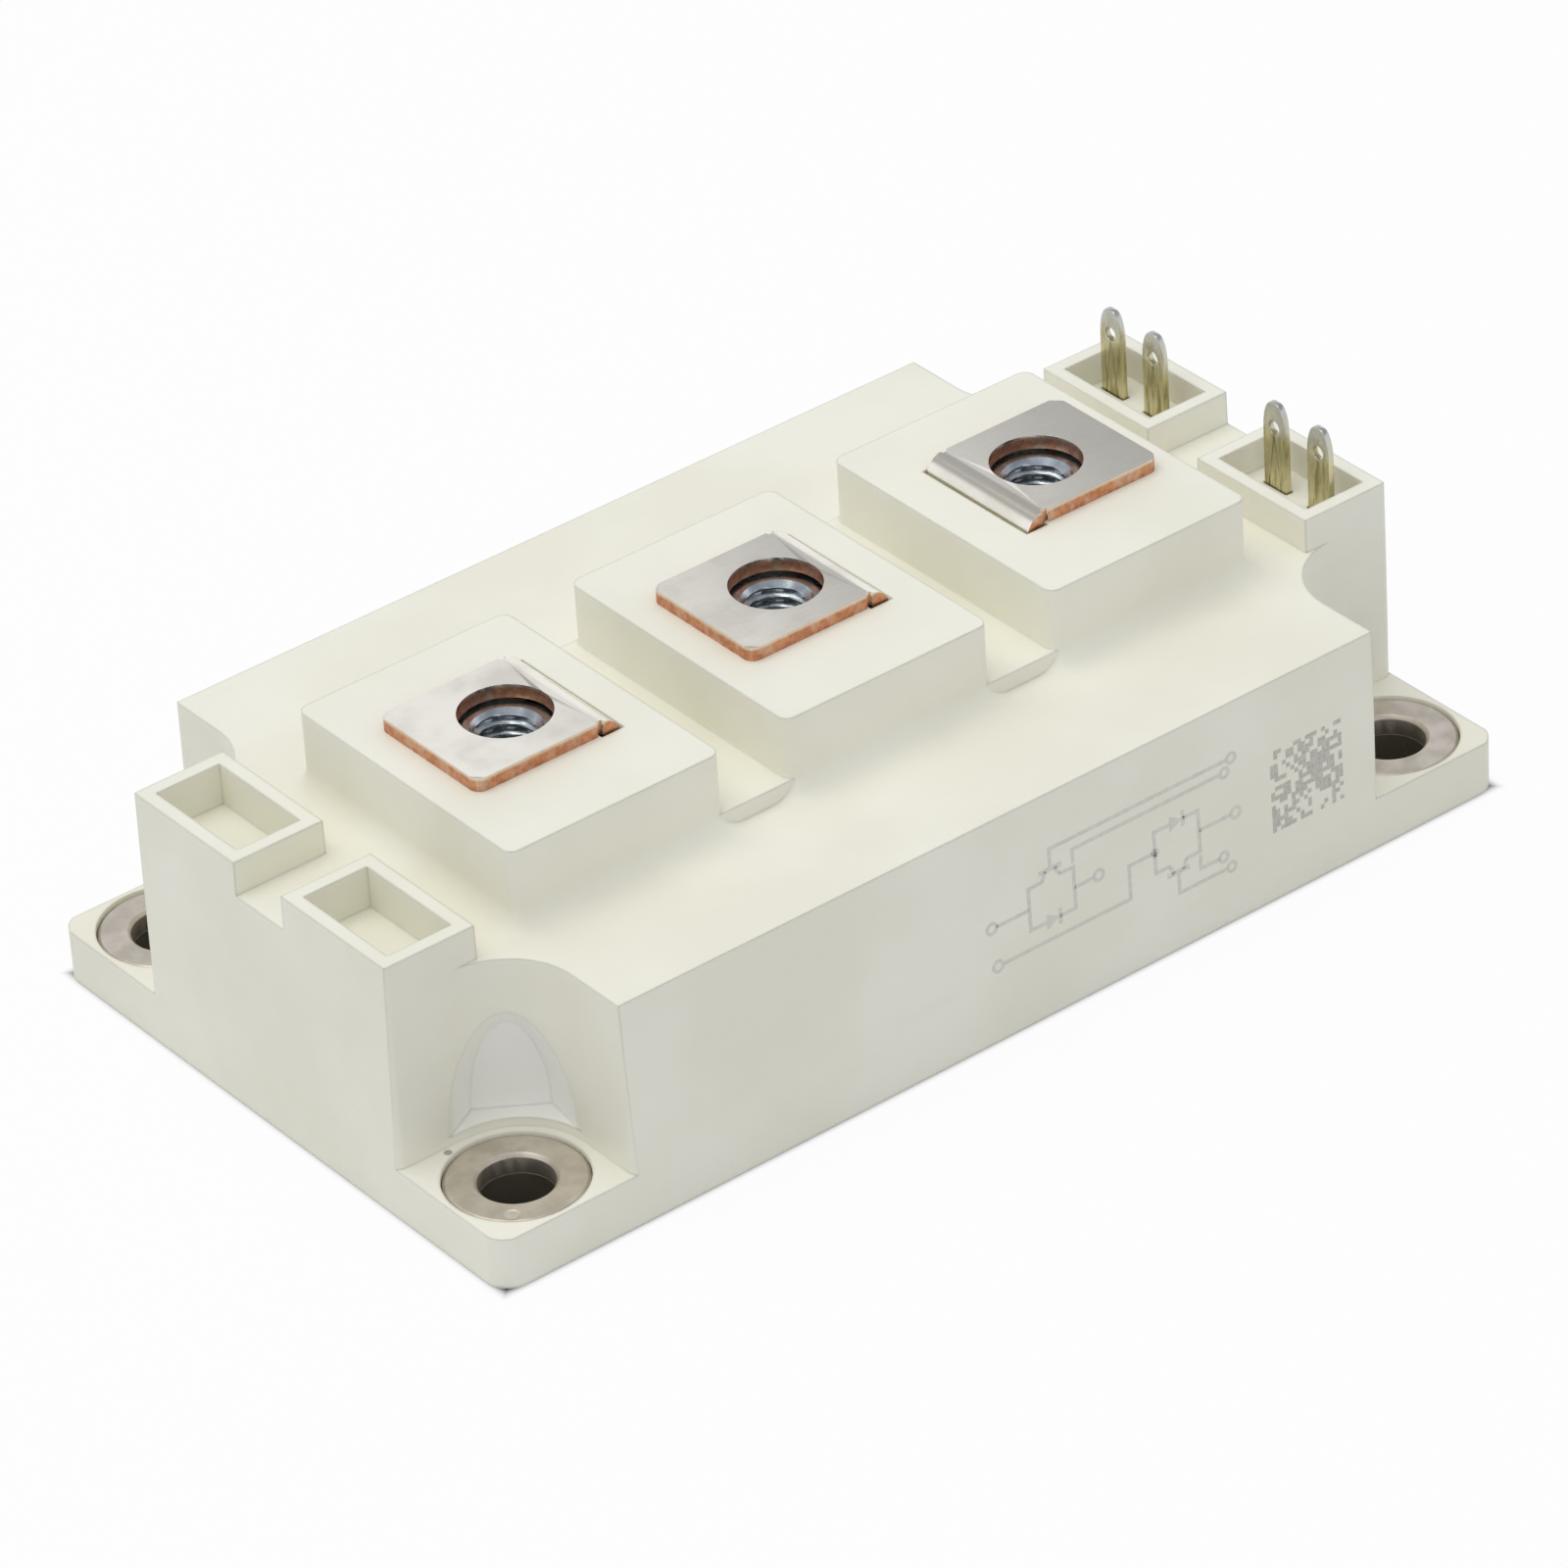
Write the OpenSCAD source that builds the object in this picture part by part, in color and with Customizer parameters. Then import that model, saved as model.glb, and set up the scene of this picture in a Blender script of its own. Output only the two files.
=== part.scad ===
// Half-bridge transistor module in a 62 mm screw-terminal case.
// Millimetres. The origin is the middle of the underside, +X points to the
// signal-tab end and +Z points up.

/* [Case] */
// Distance from a mounting hole to the outer faces of the case
hole_margin = 6.7; // [6.4:0.05:7.2]
// Radius of the four upright corners of the case
case_corner_r = 2.4; // [1:0.1:4]
// Height of the deck above the underside
deck_z = 21.3; // [20.5:0.1:22.5]
// Height of the mounting ears
ear_z = 5.0; // [4.6:0.1:6]
// How far each long side leans in at the tower tops
side_lean = 0.8; // [0:0.1:1.2]
// How far each end leans in at the tower tops
end_lean = 0.55; // [0:0.05:0.8]
// Radius of the corner notches about the mounting holes
notch_r = 6.9; // [6.5:0.1:7.2]
// Edge radius of the upright outer corners beside the notches
body_edge_r = 0.9; // [0.4:0.1:1.4]
// Thickness of the deck
deck_t = 2.5; // [1.8:0.1:2.8]
// Thickness of the long side walls at the top
side_wall = 2.2; // [1.6:0.1:3]
// Thickness of the end walls at the top
end_wall = 1.9; // [1.5:0.1:2.4]
// Wall left between a corner notch and the inside
notch_wall = 2.8; // [2.4:0.1:3.2]

/* [Screw notches] */
// Distance between mounting holes along the length
hole_pitch_x = 93; // [92:0.1:93.6]
// Distance between mounting holes across the width
hole_pitch_y = 48; // [47.5:0.1:48.4]
// Diameter of the mounting holes
hole_d = 6.4; // [5.4:0.1:7]
// Outer diameter of the metal mounting rings
ring_od = 12; // [11:0.1:12.2]
// Height of the ring tops above the underside
ring_z = 4.85; // [4.2:0.05:5]
// Edge break on the rings
ring_chamfer = 0.3; // [0.1:0.05:0.5]
// Direction of the niche from its mounting hole, measured from the case length
niche_angle = 55; // [45:1:58]
// Half width of the arched niche at its mouth
niche_half = 6; // [5:0.1:6.4]
// Half width of the niche at its back wall
niche_back = 3.3; // [2.4:0.1:3.6]
// Height of the arch at the back wall
niche_h = 8.3; // [6:0.1:9]
// Height of the niche floor above the underside
niche_floor = 5.8; // [5.2:0.1:7]
// Depth of the niche behind the notch wall
niche_depth = 1.6; // [1:0.1:1.8]

/* [Base plate] */
// Thickness of the base plate
plate_t = 3; // [2:0.1:3.6]
// How far the base plate stands proud of the case underside
plate_proud = 0.2; // [0.1:0.05:0.5]
// Thickness of the case rim round the base plate
rim_t = 0.9; // [0.6:0.1:1.2]

/* [Terminal blocks] */
// Distance between the screw terminals
terminal_pitch = 28; // [27.5:0.1:28.4]
// Length of one terminal block along the case
block_len = 21.4; // [21:0.1:22]
// Width of one terminal block across the case
block_wid = 28.8; // [27:0.1:31]
// Middle of the terminal blocks along the case
block_x = -0.5; // [-0.7:0.1:-0.3]
// Middle of the terminal blocks across the case
block_y = -1.8; // [-3:0.1:0]
// Height of the block tops above the underside
block_z = 28.7; // [28.2:0.1:30]
// Height of the raised floor between the blocks
valley_z = 22.9; // [21.8:0.1:24]
// Radius of the upright corners of a block
block_corner_r = 1; // [0.5:0.1:2]
// Radius of the fillet where a block meets the deck
block_fillet = 2; // [1:0.1:2.5]
// Wall round the hollow space inside a block
block_wall = 2; // [1.5:0.1:2.5]

/* [Power terminals] */
// Middle of the terminal holes across the case
terminal_y = -1; // [-2:0.1:0]
// Thickness of the terminal sheet
sheet_t = 1.3; // [1:0.1:1.5]
// Width of a terminal across the case
terminal_wid = 13.3; // [12:0.1:14]
// Reach of a terminal from its hole to its free end
terminal_free = 7.9; // [7:0.1:8.6]
// Reach of a terminal from its hole to its folded side
terminal_fold = 6.6; // [6.4:0.1:7]
// Diameter of the hole in a terminal
terminal_hole = 8; // [6.6:0.1:8.4]
// Radius of the free corners of a terminal
terminal_corner_r = 1; // [0.5:0.1:2]
// Inner radius of the folds
fold_r = 0.7; // [0.4:0.1:1]
// Size of the relief notches beside the fold
relief = 0.6; // [0.4:0.1:1.2]
// Width of the inner busbar and its foot
busbar_wid = 8; // [6:0.1:9]
// Height of the busbars above the underside
busbar_z = 9; // [8.5:0.1:10.5]
// Length of a soldered foot
foot_len = 2.5; // [1.5:0.1:2.7]
// Reach of the three busbars inside the case
busbar_reach = [10.3, 12.5, 10.3];

/* [Terminal nuts] */
// Width across the flats of a nut
nut_af = 10; // [9:0.1:10.2]
// Height of a nut
nut_h = 5; // [4:0.1:6]
// Core diameter of the nut thread
thread_core_d = 5; // [4.6:0.1:5.2]
// Gap between a nut and the terminal above it
nut_drop = 0.3; // [0.1:0.1:0.8]
// Bottom of the screw space under a nut
screw_floor = 14; // [13:0.1:16]

/* [Towers] */
// Height of the tower tops above the underside
tower_z = 24.5; // [23:0.1:26]
// Length of a tower along the case at its top
tower_len = 8.9; // [8.4:0.1:9.2]
// Width of the open lane between the two towers of an end
tower_gap = 6.5; // [5.5:0.1:7.5]
// Thickness of the tower walls
tower_wall = 1.3; // [1:0.1:1.5]
// Floor of the empty pockets
pocket_floor = 20.6; // [20:0.1:22]
// Floor of the pockets round the signal tabs
tab_pocket_floor = 21.6; // [20.6:0.1:22.5]

/* [Signal tabs] */
// Distance between the two tabs of a tower
tab_pitch = 5.6; // [5:0.1:6]
// Distance from the outer tab to the outer face of its tower
tab_inset = 3.6; // [3.2:0.1:4]
// How far the tabs stand outward of the middle of their pockets
tab_offset = 0.5; // [0:0.1:1.2]
// Width of a tab
tab_wid = 2.8; // [2:0.1:2.8]
// Thickness of a tab
tab_t = 0.6; // [0.4:0.1:0.8]
// Height of the tab tips above the underside
tab_z = 30; // [28:0.1:32]
// Length of the rounded taper at a tab's tip
tab_taper = 2.8; // [1.5:0.1:3.2]
// Width of a tab's tip
tab_tip = 0.7; // [0.5:0.1:1.6]
// Diameter of the lock hole in a tab
tab_hole = 1.3; // [0.8:0.1:1.5]
// Distance of the lock hole below the tip
tab_hole_drop = 2.4; // [2:0.1:3.5]
// Width of a tab's lead inside the case
lead_wid = 1.2; // [0.8:0.1:1.6]
// Height of the leads above the underside
lead_z = 10.6; // [10.2:0.1:12]

/* [Substrates] */
// Gap between a substrate and the case wall at its outer end
substrate_gap = 0.4; // [0.2:0.1:0.8]
// Width of one ceramic substrate across the case
ceramic_wid = 46; // [44:0.1:50]
// Thickness of the ceramic
ceramic_t = 0.6; // [0.3:0.1:0.8]
// Thickness of the copper on each side of the ceramic
copper_t = 0.3; // [0.2:0.05:0.4]
// Bare ceramic margin round the copper
ceramic_margin = 0.5; // [0.3:0.1:0.8]
// Gap between copper islands
island_gap = 0.5; // [0.3:0.1:0.6]
// Distance from the middle of the case to a substrate
substrate_inset = 2.2; // [2:0.1:2.3]
// Distance between neighbouring chips of one switch
chip_pitch = 14.5; // [11.5:0.1:15]
// Side of a transistor chip along the case
transistor_len = 9; // [7:0.1:9.2]
// Side of a transistor chip across the case
transistor_wid = 10.5; // [8:0.1:11]
// Gap between a transistor chip and its diode chip
chip_gap = 1.1; // [0.8:0.1:1.4]
// Bare copper left beyond the diode chips
diode_margin = 0.9; // [0.5:0.1:1.4]
// Thickness of the chips
chip_t = 0.2; // [0.1:0.05:0.3]
// Diameter of the bond wires
wire_d = 0.4; // [0.2:0.05:0.5]
// Bond wires from each chip
wires_per_chip = 4; // [2:1:5]
// Bond wires that join the two substrates
link_wires = 8; // [4:1:12]

/* [Hidden] */
// Fit between a part and the space it sits in
fit = 0.1;
// Play round a folded terminal in its slot
slot_play = 0.2;
// Cutters reach this far past the faces they open
over = 1;
$fn = 48;

hole_x = hole_pitch_x/2;
hole_y = hole_pitch_y/2;
case_len = hole_pitch_x + 2*hole_margin;
case_wid = hole_pitch_y + 2*hole_margin;
body_x = hole_x - notch_r;
end_y = hole_y - notch_r;

plate_len = case_len - 2*(rim_t + fit);
plate_wid = case_wid - 2*(rim_t + fit);
plate_corner_r = max(case_corner_r - rim_t, 0.5);

cavity_z = deck_z - deck_t;
cavity_x = body_x - notch_wall;
cavity_y = case_wid/2 - side_lean - side_wall;
cavity_end_x = case_len/2 - end_lean - end_wall;
cavity_end_y = end_y - side_wall;

tower_out_x = case_len/2 - end_lean;
tower_in_x = tower_out_x - tower_len;
tower_mid_x = tower_out_x - tower_len/2;
tab_x = tower_mid_x + tab_offset;
tab_far_y = end_y - tab_inset;
tab_near_y = tab_far_y - tab_pitch;
tab_y = [-tab_far_y, -tab_near_y, tab_near_y, tab_far_y];

terminal_x = [-terminal_pitch, 0, terminal_pitch];
terminal_dir = [1, 1, -1];
terminal_top = block_z + sheet_t;
bend_out = fold_r + sheet_t;

nut_top = block_z - nut_drop;
nut_floor = nut_top - nut_h;
nut_space_af = nut_af + 2*fit;
boss_wall = 1.5;
screw_space_d = 6.8;

back_copper_z = plate_t;
ceramic_z = back_copper_z + copper_t;
copper_z = ceramic_z + ceramic_t;
chip_z = copper_z + copper_t;
wire_z = chip_z + chip_t;

ceramic_len = cavity_x - substrate_gap - substrate_inset;

// Columns of the copper pattern, measured from the middle of the case.
link_in = substrate_inset + ceramic_margin;
link_wid = 2.2;
emitter_in = link_in + link_wid + island_gap;
emitter_wid = 6.2;
emitter_out = emitter_in + emitter_wid;
gate_in = emitter_out + island_gap;
gate_wid = 0.9;
collector_in = gate_in + gate_wid + island_gap;
collector_out = substrate_inset + ceramic_len - ceramic_margin;
pattern_y = ceramic_wid/2 - ceramic_margin;
chip_margin = 0.4;
pad_len = 3.5;
pad_wid = 3;
pad_in = collector_out - pad_len;
transistor_x = collector_in + chip_margin + transistor_len/2;
diode_in = transistor_x + transistor_len/2 + chip_gap;
diode_side = pad_in - island_gap - diode_margin - diode_in;
diode_x = diode_in + diode_side/2;
// Lane at each side of a transistor chip that the gate wire lies in.
gate_lane = 1.75;
gate_wire_y = transistor_wid/2 - 0.65*gate_lane;
wire_row = min(diode_side, transistor_wid - 2*gate_lane) - 1;
link_edge = 2.4;

// ---- helpers ----------------------------------------------------------

// Children copied into the four quadrants.
module four_ways() {
    for (sx = [0, 1], sy = [0, 1])
        mirror([sx, 0, 0]) mirror([0, sy, 0]) children();
}

// Rounds the four outer corners of its child that lie at (x, y).
module ease_corners(x, y, r) {
    difference() {
        children();
        four_ways() translate([x - r, y - r]) difference() {
            square(r + over);
            circle(r);
        }
    }
}

// Rectangle with round corners, centred on the origin.
module round_rect(len, wid, r) {
    ease_corners(len/2, wid/2, r) square([len, wid], center = true);
}

// Box between two heights, centred in plan.
module slab(len, wid, z0, z1) {
    translate([-len/2, -wid/2, z0]) cube([len, wid, z1 - z0]);
}

// Profile drawn in X and Z, made thick across the case about y = mid.
module across(wid, mid = 0) {
    translate([0, mid, 0]) rotate([90, 0, 0])
        linear_extrude(wid, center = true) children();
}

// ---- case -------------------------------------------------------------

// Open corner space round one mounting hole, in plan.
module notch_outline() {
    translate([hole_x, hole_y]) {
        circle(notch_r);
        translate([-notch_r, 0]) square([2*notch_r, 2*notch_r]);
        translate([0, -notch_r]) square([2*notch_r, 2*notch_r]);
    }
}

module body_outline() {
    ease_corners(body_x, case_wid/2, body_edge_r)
        ease_corners(case_len/2, end_y, body_edge_r)
            difference() {
                square([case_len, case_wid], center = true);
                four_ways() notch_outline();
            }
}

// Space inside the leaning sides and ends.
module leaning_envelope() {
    intersection() {
        across(case_wid) polygon([
            [-case_len/2, 0], [case_len/2, 0],
            [tower_out_x, tower_z], [-tower_out_x, tower_z]]);
        rotate([90, 0, 90]) linear_extrude(case_len, center = true) polygon([
            [-case_wid/2, 0], [case_wid/2, 0],
            [case_wid/2 - side_lean, tower_z],
            [side_lean - case_wid/2, tower_z]]);
    }
}

module tower_blanks() {
    four_ways() translate([tower_in_x, tower_gap/2, deck_z - over])
        cube([tower_len + end_lean, end_y - tower_gap/2, tower_z - deck_z + over]);
}

module tower_pockets() {
    wid = end_y - tower_gap/2 - 2*tower_wall;
    len = tower_len - 2*tower_wall;
    for (sx = [-1, 1], sy = [-1, 1])
        translate([sx*tower_mid_x, sy*(tower_gap/2 + tower_wall + wid/2), 0])
            slab(len, wid, sx > 0 ? tab_pocket_floor : pocket_floor, tower_z + over);
}

// Concave fillet that runs round a block's foot.
module foot_fillet(len, wid, r, fillet) {
    module corner_profile() {
        difference() {
            square([r + fillet, fillet]);
            translate([r + fillet, fillet]) circle(fillet);
        }
    }
    module side_profile() {
        difference() {
            square([fillet, fillet]);
            translate([fillet, fillet]) circle(fillet);
        }
    }
    four_ways() translate([len/2 - r, wid/2 - r, 0])
        rotate_extrude() corner_profile();
    for (a = [0, 180]) rotate(a) {
        translate([len/2, 0, 0]) across(wid - 2*r) side_profile();
        translate([0, wid/2, 0]) rotate([90, 0, 90])
            linear_extrude(len - 2*r, center = true) side_profile();
    }
}

module terminal_blocks() {
    for (i = [0:2]) translate([block_x + terminal_x[i], block_y, 0]) {
        translate([0, 0, cavity_z])
            linear_extrude(block_z - cavity_z)
                round_rect(block_len, block_wid, block_corner_r);
        translate([0, 0, deck_z])
            foot_fillet(block_len, block_wid, block_corner_r, block_fillet);
    }
    // raised floor between the blocks
    translate([block_x, block_y, 0])
        slab(2*terminal_pitch, block_wid, cavity_z, valley_z);
}

// Tapered arch that is sunk into the round corner of each notch.
module niche_cutters() {
    // the mouth lies on the flanks of the round wall, in front of its crown
    lead_in = notch_r - sqrt(pow(notch_r, 2) - pow(niche_half, 2)) + 0.2;
    narrow = niche_back/niche_half;
    start_h = niche_h/narrow;
    steps = 16;
    four_ways() translate([hole_x, hole_y, niche_floor]) rotate(180 + niche_angle)
        translate([notch_r - lead_in, 0, 0]) rotate([90, 0, 90])
            linear_extrude(lead_in + niche_depth, scale = narrow)
                polygon([for (i = [0:steps])
                    [niche_half*cos(180*i/steps), start_h*sin(180*i/steps)]]);
}

// Bosses that hold the nuts and close the screw spaces below them.
module nut_bosses() {
    for (x = terminal_x) translate([x, terminal_y, screw_floor - boss_wall])
        cylinder(d = screw_space_d + 2*boss_wall, h = cavity_z - screw_floor + boss_wall + over);
}

module nut_spaces() {
    for (x = terminal_x) translate([x, terminal_y, 0]) {
        translate([0, 0, nut_floor])
            rotate(30) cylinder(d = nut_space_af/cos(30), h = block_z - nut_floor + over, $fn = 6);
        translate([0, 0, screw_floor])
            cylinder(d = screw_space_d, h = nut_floor - screw_floor + over);
    }
}

// Slots that the folded terminals pass through, wider under the fold.
module terminal_slots() {
    for (i = [0:2]) translate([terminal_x[i], 0, 0]) mirror([1 - (terminal_dir[i] + 1)/2, 0, 0]) {
        slot_in = terminal_fold - sheet_t - slot_play;
        slot_len = sheet_t + 2*slot_play;
        translate([slot_in + slot_len/2, terminal_y, 0])
            slab(slot_len, terminal_wid + 2*slot_play, cavity_z - over, block_z + over);
        throat_len = bend_out + slot_play + fit;
        translate([terminal_fold + slot_play - throat_len/2, terminal_y, 0])
            slab(throat_len, terminal_wid + 2*slot_play, block_z - fold_r - fit, block_z + over);
    }
}

// Hollow spaces in the front and back of each block, open to the inside.
module block_hollows() {
    top = block_z - block_wall;
    boss_half = max(terminal_wid/2 + slot_play, nut_space_af/2) + block_wall;
    front_y0 = block_y - block_wid/2 + block_wall;
    back_y1 = block_y + block_wid/2 - block_wall;
    for (x = terminal_x) translate([block_x + x - block_len/2 + block_wall, 0, cavity_z - over]) {
        translate([0, front_y0, 0])
            cube([block_len - 2*block_wall, terminal_y - boss_half - front_y0, top - cavity_z + over]);
        translate([0, terminal_y + boss_half, 0])
            cube([block_len - 2*block_wall, back_y1 - terminal_y - boss_half, top - cavity_z + over]);
    }
}

module tab_slots() {
    for (y = tab_y) translate([tab_x, y, 0])
        slab(tab_t + 2*fit, tab_wid + 2*fit, cavity_z - over, tower_z + over);
}

module case_blank() {
    intersection() {
        leaning_envelope();
        union() {
            translate([0, 0, plate_proud])
                linear_extrude(ear_z - plate_proud)
                    round_rect(case_len, case_wid, case_corner_r);
            translate([0, 0, plate_proud])
                linear_extrude(deck_z - plate_proud) body_outline();
            intersection() {
                tower_blanks();
                linear_extrude(tower_z + over) body_outline();
            }
        }
    }
    terminal_blocks();
}

module case_cavity() {
    slab(2*cavity_x, 2*cavity_y, 0, cavity_z);
    slab(2*cavity_end_x, 2*cavity_end_y, 0, cavity_z);
    block_hollows();
}

module housing() color([0.93, 0.92, 0.86]) difference() {
    union() {
        difference() {
            case_blank();
            case_cavity();
        }
        nut_bosses();
    }
    // seat of the base plate
    translate([0, 0, -over]) linear_extrude(plate_t + over)
        round_rect(plate_len + 2*fit, plate_wid + 2*fit, plate_corner_r + fit);
    // seats of the mounting rings
    four_ways() translate([hole_x, hole_y, plate_t - fit])
        cylinder(d = ring_od + 2*fit, h = ear_z);
    niche_cutters();
    tower_pockets();
    nut_spaces();
    terminal_slots();
    tab_slots();
}

module base_plate() color([0.78, 0.77, 0.72]) difference() {
    linear_extrude(plate_t) round_rect(plate_len, plate_wid, plate_corner_r);
    four_ways() translate([hole_x, hole_y, -over]) cylinder(d = hole_d, h = plate_t + 2*over);
}

// Numbered from the end without tabs: front, back, front, back.
module mounting_ring(i) {
    sx = i < 2 ? -1 : 1;
    sy = i % 2 == 0 ? -1 : 1;
    c = ring_chamfer;
    r = ring_od/2;
    b = hole_d/2;
    color([0.66, 0.63, 0.58]) translate([sx*hole_x, sy*hole_y, 0])
        difference() {
            rotate_extrude() polygon([
                [0, plate_t], [r, plate_t], [r, ring_z - c], [r - c, ring_z],
                [b + c, ring_z], [b, ring_z - c], [0, ring_z - c]]);
            translate([0, 0, plate_t - over]) cylinder(r = b, h = ring_z);
        }
}

// ---- power terminals ---------------------------------------------------

// Quarter ring between two radii, in the quadrant given by its signs.
module quarter_ring(r_in, r_out, qx, qz) {
    intersection() {
        difference() {
            circle(r_out);
            circle(r_in);
        }
        scale([qx, qz]) square(r_out + over);
    }
}

// Folded sheet in X and Z: flat top, strap, busbar, leg and foot.
module terminal_profile(reach) {
    strap_out = terminal_fold;
    strap_in = terminal_fold - sheet_t;
    leg_in = strap_in - reach;
    leg_out = leg_in + sheet_t;
    bus_top = busbar_z + sheet_t;
    // flat top
    translate([-terminal_free, block_z])
        square([terminal_free + strap_out - bend_out, sheet_t]);
    translate([strap_out - bend_out, block_z - fold_r])
        quarter_ring(fold_r, bend_out, 1, 1);
    // strap
    translate([strap_in, busbar_z + bend_out])
        square([sheet_t, block_z - fold_r - busbar_z - bend_out]);
    translate([strap_out - bend_out, busbar_z + bend_out])
        quarter_ring(fold_r, bend_out, 1, -1);
    // busbar
    translate([leg_in + bend_out, busbar_z])
        square([strap_out - leg_in - 2*bend_out, sheet_t]);
    translate([leg_in + bend_out, bus_top - bend_out])
        quarter_ring(fold_r, bend_out, -1, 1);
    // leg
    translate([leg_in, chip_z])
        square([sheet_t, bus_top - bend_out - chip_z]);
    // foot
    translate([leg_in - foot_len, chip_z])
        square([foot_len + sheet_t, sheet_t]);
}

// Plan of the wide upper part and the narrow inner part.
module terminal_plan(upper) {
    if (upper) {
        difference() {
            translate([-terminal_free, -terminal_wid/2])
                square([terminal_free + terminal_fold, terminal_wid]);
            for (s = [-1, 1]) {
                translate([-terminal_free, s*terminal_wid/2])
                    square(2*terminal_corner_r, center = true);
                translate([terminal_fold - bend_out, s*terminal_wid/2])
                    square(relief, center = true);
            }
        }
        for (s = [-1, 1])
            translate([terminal_corner_r - terminal_free, s*(terminal_wid/2 - terminal_corner_r)])
                circle(terminal_corner_r);
    } else {
        square([case_len, busbar_wid], center = true);
    }
}

module power_terminal(i) {
    shoulder_z = busbar_z + bend_out + 1;
    color([0.80, 0.79, 0.74])
        translate([terminal_x[i], terminal_y, 0]) mirror([1 - (terminal_dir[i] + 1)/2, 0, 0])
            difference() {
                intersection() {
                    across(case_wid/2) terminal_profile(busbar_reach[i]);
                    union() {
                        translate([0, 0, shoulder_z])
                            linear_extrude(terminal_top) terminal_plan(true);
                        linear_extrude(shoulder_z) terminal_plan(false);
                    }
                }
                translate([0, 0, block_z - over])
                    cylinder(d = terminal_hole, h = sheet_t + 2*over);
            }
}

// Hexagon nut with its corners chamfered at both faces.
module terminal_nut(i) color([0.69, 0.72, 0.72])
    translate([terminal_x[i], terminal_y, nut_floor]) difference() {
        r_face = 0.49*nut_af;
        r_corner = nut_af/2/cos(30) + fit;
        drop = (r_corner - r_face)*tan(30);
        intersection() {
            rotate(30) cylinder(d = nut_af/cos(30), h = nut_h, $fn = 6);
            rotate_extrude() polygon([
                [0, 0], [r_face, 0], [r_corner, drop],
                [r_corner, nut_h - drop], [r_face, nut_h], [0, nut_h]]);
        }
        translate([0, 0, -over]) cylinder(d = thread_core_d, h = nut_h + 2*over);
    }

// ---- signal tabs -------------------------------------------------------

// Point of a tab's bullet-shaped tip, from its shoulder at 0 to its end at 90.
function tip_point(a, sy) = [
    sy*(tab_tip + (tab_wid - tab_tip)*cos(a))/2,
    tab_z - tab_taper*(1 - sin(a))];

module signal_tab(i) color([0.80, 0.77, 0.66]) {
    side = tab_t/2;
    shoulder_z = cavity_z - 1;
    pad_x = pad_in + 0.9;
    // blade
    translate([tab_x, tab_y[i], 0]) difference() {
        rotate([90, 0, 90]) linear_extrude(tab_t, center = true) polygon(concat(
            [[-tab_wid/2, shoulder_z], [tab_wid/2, shoulder_z]],
            [for (a = [0:15:90]) tip_point(a, 1)],
            [for (a = [90:-15:0]) tip_point(a, -1)]));
        translate([0, 0, tab_z - tab_hole_drop]) rotate([0, 90, 0])
            cylinder(d = tab_hole, h = tab_t + 2*over, center = true);
    }
    // lead to the substrate
    across(lead_wid, tab_y[i]) {
        translate([tab_x - side, lead_z]) square([tab_t, shoulder_z - lead_z]);
        translate([pad_x, lead_z]) square([tab_x + side - pad_x, tab_t]);
        translate([pad_x, chip_z]) square([tab_t, lead_z - chip_z]);
        translate([pad_x, chip_z]) square([pad_len - 1.4, tab_t]);
    }
}

// ---- substrates, chips and wires ---------------------------------------

// side is -1 for the left substrate and 1 for the right one.
module substrate_slab(side, margin, z, t) {
    translate([side*(substrate_inset + ceramic_len/2), 0, z])
        slab(ceramic_len - 2*margin, ceramic_wid - 2*margin, 0, t);
}

// Strip between two distances from the middle, over a range of y.
module strip(side, x0, x1, y0, y1) {
    translate([side > 0 ? x0 : -x1, y0]) square([x1 - x0, y1 - y0]);
}

module copper_pattern(side) color([0.83, 0.56, 0.40]) {
    inner_y = pattern_y - link_edge - island_gap;
    translate([0, 0, copper_z]) linear_extrude(copper_t) {
        strip(side, gate_in, gate_in + gate_wid, -inner_y, inner_y);
        if (side < 0) {
            strip(side, emitter_in, emitter_out, -inner_y, inner_y);
            // collector island, led round to the inner edge
            strip(side, collector_in, collector_out, -pattern_y, pattern_y);
            strip(side, link_in, link_in + link_wid, -pattern_y, pattern_y);
            for (s = [0, 1]) mirror([0, s, 0])
                strip(side, link_in, collector_in, pattern_y - link_edge, pattern_y);
        } else {
            strip(side, link_in, emitter_out, -inner_y, inner_y);
            strip(side, collector_in, pad_in - island_gap, -pattern_y, pattern_y);
            land = tab_y[2] - pad_wid/2 - island_gap;
            strip(side, collector_in, collector_out, -land, land);
            for (y = tab_y) strip(side, pad_in, collector_out, y - pad_wid/2, y + pad_wid/2);
        }
    }
}

function chip_side(i) = i < 3 ? -1 : 1;
function chip_y(i) = (i % 3 - 1)*chip_pitch;

module transistor_chip(i) color([0.45, 0.47, 0.50])
    translate([chip_side(i)*transistor_x, chip_y(i), chip_z])
        slab(transistor_len, transistor_wid, 0, chip_t);

module diode_chip(i) color([0.55, 0.57, 0.58])
    translate([chip_side(i)*diode_x, chip_y(i), chip_z])
        slab(diode_side, diode_side, 0, chip_t);

// One arched wire in X and Z from (x0, z0) to (x1, z1), cut flat at both ends.
module bond_wire(x0, z0, x1, z1) {
    span = x1 - x0;
    low = min(z0, z1);
    sink = 0.30*span;
    r = sqrt(pow(span/2, 2) + pow(sink, 2));
    mid = (x0 + x1)/2;
    intersection() {
        translate([mid, 0, max(z0, z1) - sink]) rotate([90, 0, 0])
            rotate_extrude() translate([r, 0]) circle(d = wire_d, $fn = 16);
        union() {
            translate([x0 - span, -over, z0]) cube([1.5*span, 2*over, 2*r]);
            translate([mid, -over, z1]) cube([1.5*span, 2*over, 2*r]);
        }
    }
}

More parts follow.
